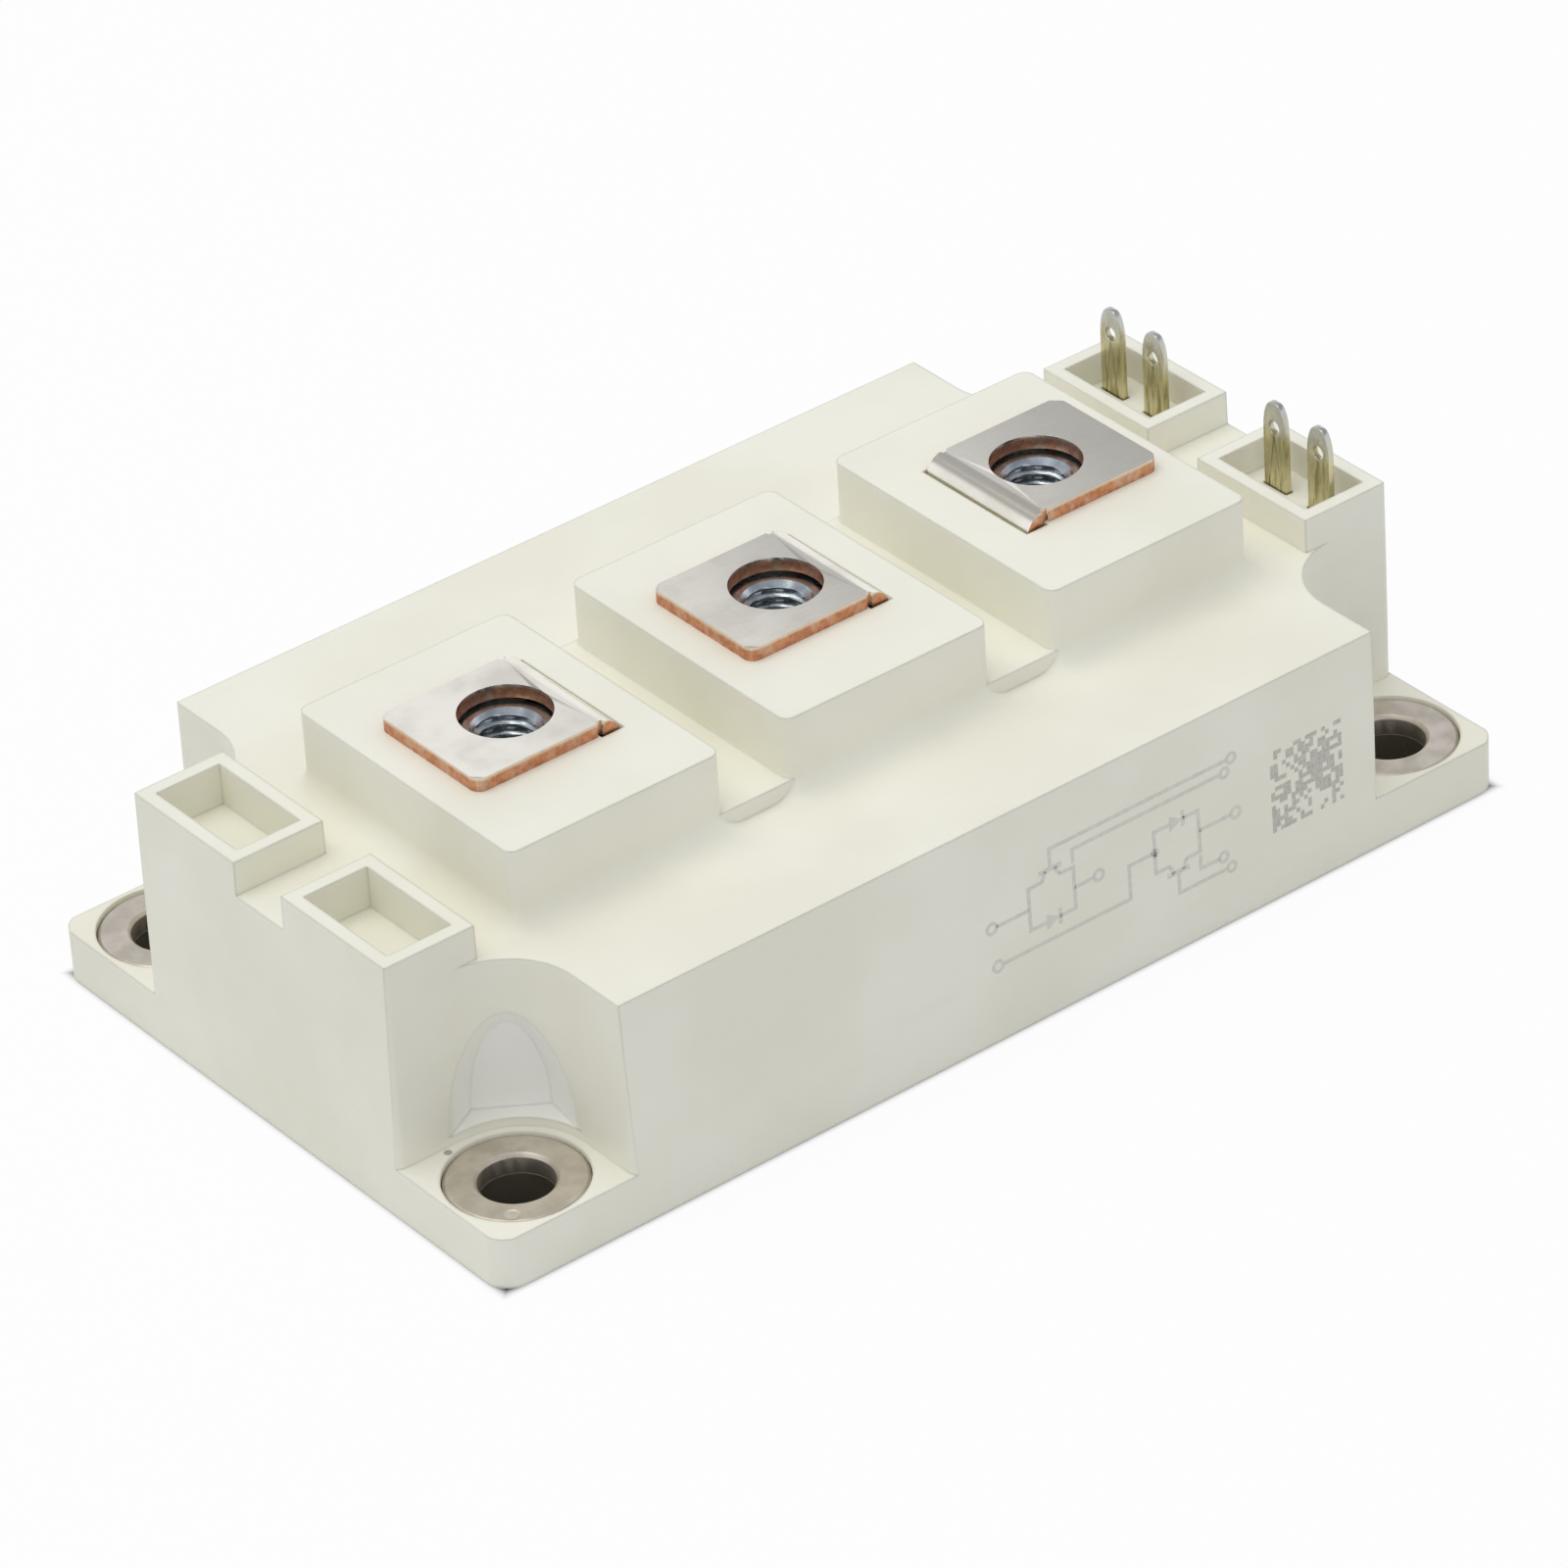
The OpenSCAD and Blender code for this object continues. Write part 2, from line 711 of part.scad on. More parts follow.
module chip_wires(side) color([0.82, 0.82, 0.84])
    for (i = side < 0 ? [0, 1, 2] : [3, 4, 5]) {
        wire_gap = wire_row/(wires_per_chip - 1);
        for (k = [0:wires_per_chip - 1])
            translate([0, chip_y(i) - wire_row/2 + k*wire_gap, 0])
                mirror([side < 0 ? 1 : 0, 0, 0]) {
                    bond_wire(emitter_out - 0.9, chip_z, transistor_x - 1, wire_z);
                    bond_wire(transistor_x + 1, wire_z, diode_x, wire_z);
                }
        // gate wire beside the others
        translate([0, chip_y(i) + gate_wire_y, 0]) mirror([side < 0 ? 1 : 0, 0, 0])
            bond_wire(gate_in + gate_wid/2, chip_z, transistor_x - 2, wire_z);
    }

module link_bond_wires() color([0.82, 0.82, 0.84]) {
    reach = 2*(pattern_y - link_edge - 2);
    x = link_in + link_wid/2;
    for (k = [0:link_wires - 1])
        translate([0, -reach/2 + k*reach/(link_wires - 1), 0]) bond_wire(-x, chip_z, x, chip_z);
}

// ---- parts -------------------------------------------------------------

base_plate();
housing();
for (i = [0:3]) mounting_ring(i);
for (i = [0:2]) power_terminal(i);
for (i = [0:2]) terminal_nut(i);
for (i = [0:3]) signal_tab(i);
color([0.83, 0.56, 0.40]) substrate_slab(-1, ceramic_margin, back_copper_z, copper_t);  // left_back_copper
color([0.83, 0.56, 0.40]) substrate_slab(1, ceramic_margin, back_copper_z, copper_t);  // right_back_copper
color([0.96, 0.95, 0.92]) substrate_slab(-1, 0, ceramic_z, ceramic_t);  // left_ceramic
color([0.96, 0.95, 0.92]) substrate_slab(1, 0, ceramic_z, ceramic_t);  // right_ceramic
copper_pattern(-1);  // left_copper_pattern
copper_pattern(1);  // right_copper_pattern
for (i = [0:5]) transistor_chip(i);
for (i = [0:5]) diode_chip(i);
chip_wires(-1);  // left_bond_wires
chip_wires(1);  // right_bond_wires
link_bond_wires();
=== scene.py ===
"""Looks of a half-bridge transistor module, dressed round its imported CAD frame.

Lengths are in metres, and in millimetres for the print alone. The axes are the frame's own:
+X points to the signal tabs, -Y to the printed long side and +Z up from the base plate.
"""
import math

import bmesh
import bpy
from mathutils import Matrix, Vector


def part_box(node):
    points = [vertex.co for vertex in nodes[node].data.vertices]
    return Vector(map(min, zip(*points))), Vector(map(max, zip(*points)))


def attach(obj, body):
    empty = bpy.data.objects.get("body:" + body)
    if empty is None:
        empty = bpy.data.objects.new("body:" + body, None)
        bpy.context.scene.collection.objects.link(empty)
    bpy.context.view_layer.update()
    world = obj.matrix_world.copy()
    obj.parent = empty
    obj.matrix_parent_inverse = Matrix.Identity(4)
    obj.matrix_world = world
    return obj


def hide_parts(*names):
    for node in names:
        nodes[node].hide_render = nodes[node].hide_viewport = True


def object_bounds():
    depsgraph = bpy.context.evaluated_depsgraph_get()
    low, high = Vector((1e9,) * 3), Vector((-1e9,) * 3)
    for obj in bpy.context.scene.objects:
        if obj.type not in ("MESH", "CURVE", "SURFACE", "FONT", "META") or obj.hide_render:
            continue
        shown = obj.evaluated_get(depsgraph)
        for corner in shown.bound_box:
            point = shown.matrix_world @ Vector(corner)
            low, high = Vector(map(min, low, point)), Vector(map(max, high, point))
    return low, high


MM = 0.001
BODY = "root"

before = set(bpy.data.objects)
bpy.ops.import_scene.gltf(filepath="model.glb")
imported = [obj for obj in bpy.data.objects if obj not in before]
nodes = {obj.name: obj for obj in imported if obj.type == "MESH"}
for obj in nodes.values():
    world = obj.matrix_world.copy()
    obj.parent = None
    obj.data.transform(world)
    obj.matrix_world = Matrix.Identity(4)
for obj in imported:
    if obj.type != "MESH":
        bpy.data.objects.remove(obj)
cad_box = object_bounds()
scene = bpy.context.scene


# ---- colours and shader helpers ---------------------------------------------

def tone(red, green, blue):
    """Colour written as on a paint chart, 0 to 255, as the linear colour that shaders take."""
    def linear(value):
        share = value / 255
        return share / 12.92 if share <= 0.04045 else ((share + 0.055) / 1.055) ** 2.4
    return (linear(red), linear(green), linear(blue), 1.0)


def add(tree, kind, inputs=None, **settings):
    """New shader node with its settings, and its inputs set to values or linked to sockets."""
    node = tree.nodes.new(kind)
    for name, value in settings.items():
        setattr(node, name, value)
    for name, value in (inputs or {}).items():
        if isinstance(value, bpy.types.NodeSocket):
            tree.links.new(value, node.inputs[name])
        else:
            node.inputs[name].default_value = value
    return node


def maths(tree, operation, first, second=0.0):
    return add(tree, "ShaderNodeMath", {0: first, 1: second}, operation=operation).outputs[0]


def length(tree, x, y):
    """Length of the arrow (x, y)."""
    return maths(tree, "SQRT", maths(tree, "ADD", maths(tree, "MULTIPLY", x, x),
                                     maths(tree, "MULTIPLY", y, y)))


def ease(tree, value, start, end, low=0.0, high=1.0):
    """Smooth step of a value from start to end, given as low to high."""
    inputs = {"Value": value, "From Min": start, "From Max": end, "To Min": low, "To Max": high}
    return add(tree, "ShaderNodeMapRange", inputs, interpolation_type="SMOOTHSTEP").outputs[0]


def blend(tree, share, first, second):
    """Mix of two colours."""
    return add(tree, "ShaderNodeMix", {0: share, 6: first, 7: second},
               data_type="RGBA").outputs[2]


def noise(tree, place, size, detail=2.0, stretch=None):
    """Cloudy pattern whose patches are about as large as size."""
    if stretch:
        place = add(tree, "ShaderNodeVectorMath", {0: place, 1: stretch},
                    operation="MULTIPLY").outputs[0]
    inputs = {"Vector": place, "Scale": 1 / size, "Detail": detail}
    return add(tree, "ShaderNodeTexNoise", inputs).outputs["Fac"]


def near(tree, place, centre, radius):
    """1 within a radius of a point, falling to 0 at its edge."""
    gap = add(tree, "ShaderNodeVectorMath", {0: place, 1: centre}, operation="DISTANCE")
    return ease(tree, gap.outputs["Value"], 0.7 * radius, radius, 1.0, 0.0)


def bump(tree, height, depth, below=None):
    inputs = {"Height": height, "Distance": depth, "Strength": 1.0}
    if below:
        inputs["Normal"] = below
    return add(tree, "ShaderNodeBump", inputs).outputs["Normal"]


def new_material(name):
    """Material with its tree, its main shader and the place in the object's own axes."""
    material = bpy.data.materials.new(name)
    material.use_nodes = True
    tree = material.node_tree
    place = add(tree, "ShaderNodeTexCoord").outputs["Object"]
    return material, tree, tree.nodes["Principled BSDF"], place


def connect(tree, shader, **outputs):
    """Links colour, roughness and normal to the main shader."""
    names = {"colour": "Base Color", "roughness": "Roughness", "normal": "Normal"}
    for name, socket in outputs.items():
        tree.links.new(socket, shader.inputs[names[name]])


# ---- materials ----------------------------------------------------------------

IVORY = tone(244, 242, 227)
IVORY_SHADE = tone(238, 236, 219)
GRIME = tone(120, 122, 112)
# painted highlight: the paler tone painted on the niches behind the screw notches
NICHE_PAINTED_HIGHLIGHT = tone(251, 250, 243)
NICHE_TOP = 16.5 * MM
NICHE_DEPTH = 2.5 * MM
SPECK_RADIUS = 0.45 * MM
EDGE_ROUND = 0.4 * MM


def case_plastic(speck_at, hole_at, notch_radius):
    """Ivory moulded plastic: fine spark-eroded skin, slow shade changes and one dark speck.

    The niches behind the four screw notches are painted paler than the rest, a painted highlight.
    Edges are rounded in
    the shading alone: a bevel modifier of 0.35 mm left holes by the ring seats.
    """
    material, tree, shader, place = new_material("ivory_plastic")
    clouds = noise(tree, place, 18 * MM, 3)
    flow = noise(tree, place, 3 * MM, 4, stretch=(0.35, 1, 1.6))
    grain = noise(tree, place, 0.16 * MM, 3)
    colour = blend(tree, ease(tree, clouds, 0.35, 0.65), IVORY, IVORY_SHADE)
    colour = blend(tree, ease(tree, flow, 0.55, 0.8, 0.0, 0.35), colour, IVORY_SHADE)
    colour = blend(tree, maths(tree, "MULTIPLY", near(tree, place, speck_at, SPECK_RADIUS), 0.7),
                   colour, GRIME)
    split = add(tree, "ShaderNodeSeparateXYZ", {0: place}).outputs
    from_x = maths(tree, "SUBTRACT", maths(tree, "ABSOLUTE", split["X"]), abs(hole_at.x))
    from_y = maths(tree, "SUBTRACT", maths(tree, "ABSOLUTE", split["Y"]), abs(hole_at.y))
    inward = maths(tree, "MULTIPLY", ease(tree, from_x, 1.5 * MM, 0), ease(tree, from_y, 1.5 * MM, 0))
    away = length(tree, from_x, from_y)
    behind = ease(tree, away, notch_radius + 0.02 * MM, notch_radius + 0.3 * MM)
    deepest = notch_radius + NICHE_DEPTH
    close = ease(tree, away, deepest + 1.0 * MM, deepest)
    below = ease(tree, split["Z"], NICHE_TOP + 0.5 * MM, NICHE_TOP)
    # mask of the painted highlight on the niches behind the notches, which are painted paler to stand
    # in for the light they catch
    niche_painted_highlight = maths(tree, "MULTIPLY", maths(tree, "MULTIPLY", inward, behind),
                  maths(tree, "MULTIPLY", close, below))
    colour = blend(tree, niche_painted_highlight, colour, NICHE_PAINTED_HIGHLIGHT)
    rounded = add(tree, "ShaderNodeBevel", {"Radius": EDGE_ROUND}, samples=6).outputs["Normal"]
    normal = bump(tree, grain, 0.012 * MM, bump(tree, flow, 0.02 * MM, rounded))
    rough = ease(tree, flow, 0.3, 0.7, 0.44, 0.56)
    connect(tree, shader, colour=colour, normal=normal, roughness=rough)
    shader.inputs["Specular IOR Level"].default_value = 0.4
    return material


NICKEL = tone(240, 235, 220)
NICKEL_DULL = tone(214, 208, 192)
COPPER = tone(212, 154, 118)
COPPER_DARK = tone(188, 128, 96)


def plated_sheet(name, hole, fold_side, hole_radius, free_reach, lean, top):
    """Nickel-plated copper sheet with bare copper on its sheared edges and in its hole.

    hole is the middle of the hole, fold_side the X sign of the fold, lean the slight slope
    of the flat top along X and top its height.
    """
    material, tree, shader, place = new_material(name)
    split = add(tree, "ShaderNodeSeparateXYZ", {0: place}).outputs
    facing = add(tree, "ShaderNodeSeparateXYZ",
                 {0: add(tree, "ShaderNodeNewGeometry").outputs["Normal"]}).outputs
    steep_x = maths(tree, "ABSOLUTE", facing["X"])
    steep_y = maths(tree, "ABSOLUTE", facing["Y"])
    flat = maths(tree, "ABSOLUTE", facing["Z"])
    from_hole = maths(tree, "SUBTRACT", split["X"], hole.x)
    across = maths(tree, "SUBTRACT", split["Y"], hole.y)
    radius = length(tree, from_hole, across)
    free_way = maths(tree, "MULTIPLY", from_hole, -fold_side)
    sides = ease(tree, steep_y, 0.55, 0.75)
    free_end = maths(tree, "MULTIPLY", ease(tree, steep_x, 0.6, 0.8),
                     ease(tree, free_way, free_reach - 1.2 * MM, free_reach - 0.8 * MM))
    bore = maths(tree, "MULTIPLY", ease(tree, flat, 0.75, 0.5),
                 ease(tree, radius, hole_radius + 0.5 * MM, hole_radius + 0.3 * MM))
    sheared = maths(tree, "MAXIMUM", maths(tree, "MAXIMUM", sides, free_end), bore)
    smear = noise(tree, place, 1.3 * MM, 3, stretch=(1, 1, 0.5))
    sheared = maths(tree, "MULTIPLY", sheared, ease(tree, smear, 0.3, 0.55, 0.75, 1.0))
    rolled_over = ease(tree, split["Z"], top - 0.1 * MM, top - 0.4 * MM, 0.35, 1.0)
    sheared = maths(tree, "MULTIPLY", sheared, rolled_over)

    brushed = noise(tree, place, 0.25 * MM, 3, stretch=(0.12, 1, 1))
    stains = noise(tree, place, 5 * MM, 4)
    nickel = blend(tree, ease(tree, stains, 0.42, 0.7, 0.0, 0.5), NICKEL, NICKEL_DULL)
    copper = blend(tree, ease(tree, noise(tree, place, 0.5 * MM, 3), 0.35, 0.65),
                   COPPER, COPPER_DARK)
    colour = blend(tree, sheared, nickel, copper)
    roughness = maths(tree, "MAXIMUM", maths(tree, "MULTIPLY", sheared, 0.42),
                      ease(tree, stains, 0.3, 0.7, 0.15, 0.23))
    bow = maths(tree, "MULTIPLY", maths(tree, "MULTIPLY", from_hole, from_hole), 3.0)
    slope = maths(tree, "ADD", maths(tree, "MULTIPLY", from_hole, lean), bow)
    normal = bump(tree, slope, 1.0, bump(tree, brushed, 0.003 * MM))
    connect(tree, shader, colour=colour, roughness=roughness, normal=normal)
    shader.inputs["Metallic"].default_value = 1.0
    return material


def brushed_metal(name, bright, dull, rough, patch, depth, grain=0.2 * MM, stretch=None):
    """Metal with patches of a duller tone and a fine grain."""
    material, tree, shader, place = new_material(name)
    patches = noise(tree, place, patch, 4)
    fine = noise(tree, place, grain, 3, stretch)
    connect(tree, shader,
            colour=blend(tree, ease(tree, patches, 0.35, 0.68), bright, dull),
            roughness=ease(tree, patches, 0.3, 0.7, rough, rough + 0.12),
            normal=bump(tree, fine, depth))
    shader.inputs["Metallic"].default_value = 1.0
    return material


def ring_steel(dent_at):
    """Dull turned steel with one small bright dent."""
    material, tree, shader, place = new_material("ring_steel")
    patches = noise(tree, place, 2.2 * MM, 4)
    fine = noise(tree, place, 0.12 * MM, 3)
    dent = near(tree, place, dent_at, 0.75 * MM)
    colour = blend(tree, ease(tree, patches, 0.3, 0.7), tone(224, 216, 203), tone(200, 192, 179))
    colour = blend(tree, dent, colour, tone(224, 220, 206))
    height = maths(tree, "SUBTRACT", maths(tree, "MULTIPLY", fine, 0.15), dent)
    connect(tree, shader, colour=colour, normal=bump(tree, height, 0.05 * MM),
            roughness=ease(tree, patches, 0.3, 0.7, 0.42, 0.55))
    shader.inputs["Metallic"].default_value = 1.0
    return material


def tinned_tab(top):
    """Tin that is grey at the tip and yellow-green further down."""
    material, tree, shader, place = new_material("tab_tin")
    height = add(tree, "ShaderNodeSeparateXYZ", {0: place}).outputs["Z"]
    wander = ease(tree, noise(tree, place, 1.2 * MM, 3), 0.2, 0.8, -1.0 * MM, 1.0 * MM)
    down = ease(tree, maths(tree, "ADD", height, wander), top - 0.8 * MM, top - 4 * MM)
    stripes = noise(tree, place, 0.5 * MM, 3, stretch=(1, 1, 0.15))
    colour = blend(tree, down, tone(196, 196, 190), tone(206, 198, 160))
    colour = blend(tree, maths(tree, "MULTIPLY", down, ease(tree, stripes, 0.45, 0.7)),
                   colour, tone(158, 148, 98))
    connect(tree, shader, colour=colour, normal=bump(tree, stripes, 0.006 * MM),
            roughness=ease(tree, stripes, 0.3, 0.7, 0.26, 0.4))
    shader.inputs["Metallic"].default_value = 1.0
    return material


def dull_solid(name, bright, dull, rough, patch):
    """Plain non-metal with patches of a second tone."""
    material, tree, shader, place = new_material(name)
    patches = noise(tree, place, patch, 4)
    connect(tree, shader,
            colour=blend(tree, ease(tree, patches, 0.35, 0.65), bright, dull),
            roughness=ease(tree, patches, 0.3, 0.7, rough, rough + 0.1),
            normal=bump(tree, patches, 0.004 * MM))
    return material


# ---- dressing the CAD nodes -----------------------------------------------------

def dress(node, material, edge=0.0, segments=2):
    """Gives a CAD node its material and, where edge is set, softened edges."""
    piece = nodes[node]
    if not piece.material_slots:
        piece.data.materials.append(material)
    for slot in piece.material_slots:
        slot.material = material
    if edge:
        weld = piece.modifiers.new("weld", "WELD")
        weld.merge_threshold = 0.002 * MM
        bevel = piece.modifiers.new("edges", "BEVEL")
        bevel.width = edge
        bevel.segments = segments
        bevel.limit_method = "ANGLE"
        bevel.angle_limit = math.radians(32)
        bevel.use_clamp_overlap = True
        even = piece.modifiers.new("even_normals", "WEIGHTED_NORMAL")
        even.keep_sharp = False
        even.weight = 80


def middle(node):
    low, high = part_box(node)
    return (low + high) / 2


def top_points(node):
    """Mesh points on the flat top of a CAD node."""
    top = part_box(node)[1].z
    return [v.co for v in nodes[node].data.vertices if v.co.z > top - 0.01 * MM]


# from the middle of the front ring, as shares of its radius
SPECK_PLACE = Vector((-0.35, 1.05, 0))
DENT_PLACE = Vector((-0.55, -0.62, 0))
NOTCH_TO_RING = 1.15


def dress_case():
    ring_low, ring_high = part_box("mounting_ring_1")
    ring_mid = middle("mounting_ring_1")
    ring_radius = (ring_high.x - ring_low.x) / 2
    speck = ring_mid + SPECK_PLACE * ring_radius
    speck.z = ring_high.z
    dent = ring_mid + DENT_PLACE * ring_radius
    dent.z = ring_high.z
    dress("housing", case_plastic(speck, ring_mid, ring_radius * NOTCH_TO_RING))
    steel = ring_steel(dent)
    for number in range(1, 5):
        dress(f"mounting_ring_{number}", steel, edge=0.06 * MM)
    plate = brushed_metal("plate_nickel", tone(205, 200, 188), tone(190, 184, 170),
                          0.3, 6 * MM, 0.004 * MM, stretch=(0.1, 1, 1))
    dress("base_plate", plate, edge=0.15 * MM)


# slope along X given to the shading of each flat top
SHEET_LEANS = (-0.06, 0.028, 0.06)


def dress_terminals():
    """Fold sides follow from where each terminal lies about its nut."""
    for number, lean in enumerate(SHEET_LEANS, 1):
        node = f"power_terminal_{number}"
        hole = middle(f"terminal_nut_{number}")
        on_top = top_points(node)
        reach_up = max(p.x for p in on_top) - hole.x
        reach_down = hole.x - min(p.x for p in on_top)
        fold_side = 1 if reach_up < reach_down else -1
        hole_radius = min(math.hypot(p.x - hole.x, p.y - hole.y) for p in on_top)
        sheet = plated_sheet(f"plated_sheet_{number}", hole, fold_side, hole_radius,
                             max(reach_up, reach_down), lean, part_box(node)[1].z)
        dress(node, sheet, edge=0.2 * MM, segments=3)


def dress_inside():
    copper = brushed_metal("bare_copper", tone(214, 142, 104), tone(190, 116, 82),
                           0.3, 3 * MM, 0.004 * MM)
    white = dull_solid("ceramic_white", tone(244, 243, 238), tone(236, 234, 226), 0.5, 2 * MM)
    silicon = brushed_metal("silicon_grey", tone(120, 124, 132), tone(104, 108, 118),
                            0.25, 1.5 * MM, 0.001 * MM)
    aluminium = brushed_metal("aluminium_wire", tone(222, 222, 224), tone(206, 206, 210),
                              0.25, 1 * MM, 0.001 * MM)
    for side in ("left", "right"):
        dress(f"{side}_back_copper", copper)
        dress(f"{side}_copper_pattern", copper)
        dress(f"{side}_ceramic", white)
        dress(f"{side}_bond_wires", aluminium)
    dress("link_bond_wires", aluminium)
    for number in range(1, 7):
        dress(f"transistor_chip_{number}", silicon)
        dress(f"diode_chip_{number}", silicon)


def dress_tabs():
    tin = tinned_tab(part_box("signal_tab_1")[1].z)
    for number in range(1, 5):
        dress(f"signal_tab_{number}", tin, edge=0.08 * MM)


# ---- new pieces -----------------------------------------------------------------

def make_piece(name, mesh_maker, material):
    """Object from a function that fills a bmesh, riding on the module."""
    shape = bmesh.new()
    mesh_maker(shape)
    mesh = bpy.data.meshes.new(name)
    shape.to_mesh(mesh)
    shape.free()
    mesh.materials.append(material)
    piece = bpy.data.objects.new(name, mesh)
    scene.collection.objects.link(piece)
    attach(piece, BODY)
    return piece


def loft(shape, rings):
    """Closed skin through a closed row of rings that all have as many points."""
    made = [[shape.verts.new(point) for point in ring] for ring in rings]
    count = len(made[0])
    for index, ring in enumerate(made):
        following = made[(index + 1) % len(made)]
        for k in range(count):
            after = (k + 1) % count
            shape.faces.new((ring[k], ring[after], following[after], following[k]))
    bmesh.ops.recalc_face_normals(shape, faces=shape.faces)
    for face in shape.faces:
        face.smooth = True


THREAD_PITCH = 1.0 * MM
THREAD_DEPTH = 0.5 * MM
TURN_STEPS = 72
STEPS_PER_PITCH = 10


def threaded_nut(shape, centre, low_z, high_z, across_flats, core_radius):
    """Hexagon nut, flats facing X, with chamfered corners and a cut thread in its bore."""
    face_radius = 0.47 * across_flats
    mouth = core_radius + THREAD_DEPTH + 0.1 * MM
    height = high_z - low_z

    def ring(radius_at, z_at):
        points = []
        for k in range(TURN_STEPS):
            angle = math.tau * k / TURN_STEPS
            radius = radius_at(angle)
            points.append((centre.x + radius * math.cos(angle),
                           centre.y + radius * math.sin(angle), z_at(angle)))
        return points

    def hexagon(angle):
        sector = math.radians(60)
        turned = (angle + sector / 2) % sector - sector / 2
        return across_flats / 2 / math.cos(turned)

    def chamfer_drop(angle):
        return max(hexagon(angle) - face_radius, 0) * math.tan(math.radians(30))

    def thread_radius(angle, z):
        phase = ((z - low_z) / THREAD_PITCH - angle / math.tau) % 1.0
        tooth = min(max(1.6 * abs(2 * phase - 1) - 0.3, 0), 1)
        from_end = min(z - low_z, high_z - z)
        return max(core_radius + THREAD_DEPTH * tooth, mouth - from_end)

    rings = [ring(lambda a: face_radius, lambda a: low_z),
             ring(hexagon, lambda a: low_z + chamfer_drop(a)),
             ring(hexagon, lambda a: high_z - chamfer_drop(a)),
             ring(lambda a: face_radius, lambda a: high_z)]
    steps = round(height / THREAD_PITCH * STEPS_PER_PITCH)
    for step in range(steps, -1, -1):
        z = low_z + height * step / steps
        rings.append(ring(lambda a, z=z: thread_radius(a, z), lambda a, z=z: z))
    loft(shape, rings)


def make_nuts():
    zinc = brushed_metal("zinc", tone(196, 205, 210), tone(160, 170, 178),
                         0.22, 1.2 * MM, 0.006 * MM)
    for number in range(1, 4):
        node = f"terminal_nut_{number}"
        low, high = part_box(node)
        centre = middle(node)
        core_radius = min(math.hypot(p.x - centre.x, p.y - centre.y) for p in top_points(node))
        piece = make_piece(
            f"threaded_nut_{number}",
            lambda shape: threaded_nut(shape, centre, low.z, high.z, high.x - low.x, core_radius),
            zinc)
        sharpen(piece, 35)
        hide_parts(node)


def sharpen(piece, degrees):
    """Marks edges steeper than an angle as sharp, so that flat faces stay flat."""
    piece.data.set_sharp_from_angle(angle=math.radians(degrees))


# ---- laser print on the long side -------------------------------------------------

PRINT_PROUD = 0.012 * MM


class Print:
    """Flat marks on the printed side, drawn in X along it and Z up it, in millimetres."""

    def __init__(self, shape):
        self.shape = shape
        low_z, high_z = 7 * MM, 17 * MM
        low_y, high_y = self.wall(low_z), self.wall(high_z)
        self.slope = (high_y - low_y) / (high_z - low_z)
        self.foot = low_y - self.slope * low_z

    @staticmethod
    def wall(z):
        far = Vector((0, cad_box[0].y * 2, z))
        return nodes["housing"].ray_cast(far, Vector((0, 1, 0)))[1].y

    def vert(self, x, z):
        z = z * MM
        return self.shape.verts.new((x * MM, self.foot + self.slope * z - PRINT_PROUD, z))

    def patch(self, points):
        self.shape.faces.new([self.vert(x, z) for x, z in points])

    def line(self, points, width=0.34, closed=False):
        """Ribbon with mitred corners through the points."""
        count = len(points)
        sides = []
        for k, (x, z) in enumerate(points):
            before = points[k - 1] if k or closed else None
            after = points[(k + 1) % count] if k < count - 1 or closed else None
            ways = [Vector((x - before[0], z - before[1])).normalized()] if before else []
            ways += [Vector((after[0] - x, after[1] - z)).normalized()] if after else []
            along = sum(ways, Vector((0, 0))).normalized()
            reach = width / 2 / max(along.dot(ways[0]), 0.3)
            out = Vector((-along.y, along.x)) * reach
            sides.append((self.vert(x + out.x, z + out.y), self.vert(x - out.x, z - out.y)))
        for k in range(count if closed else count - 1):
            here, there = sides[k], sides[(k + 1) % count]
            self.shape.faces.new((here[0], here[1], there[1], there[0]))

    def loop(self, x, z, radius, width=0.3, steps=16):
        self.line([(x + radius * math.cos(math.tau * k / steps),
                    z + radius * math.sin(math.tau * k / steps)) for k in range(steps)],
                  width, closed=True)

    def dot(self, x, z, radius):
        steps = 12
        self.patch([(x + radius * math.cos(math.tau * k / steps),
                     z + radius * math.sin(math.tau * k / steps)) for k in range(steps)])


def switch_symbol(marks, x, z, lead_way):
    """Transistor with its diode across it; lead_way is 1 where its control leads go up."""
    half, rise = 2.4, 2.0
    far, close = z - lead_way * rise, z + lead_way * rise
    # current path through the transistor, and the diode on the other side
    marks.line([(x - half, z), (x - half, close), (x - 0.9, close)])
    marks.line([(x + 0.9, close), (x + half, close), (x + half, z)])
    marks.line([(x - 0.9, close), (x - 0.5, close + lead_way * 0.9)])
    marks.line([(x + 0.9, close), (x + 0.5, close + lead_way * 0.9)])
    marks.line([(x - 1.2, close + lead_way * 0.9), (x + 1.2, close + lead_way * 0.9)], 0.45)
    marks.line([(x - half, z), (x - half, far), (x - 0.7, far)])
    marks.line([(x + 0.7, far), (x + half, far), (x + half, z)])
    marks.patch([(x - 0.7, far - 0.75), (x + 0.6, far), (x - 0.7, far + 0.75)])
    marks.line([(x + 0.75, far - 0.75), (x + 0.75, far + 0.75)])


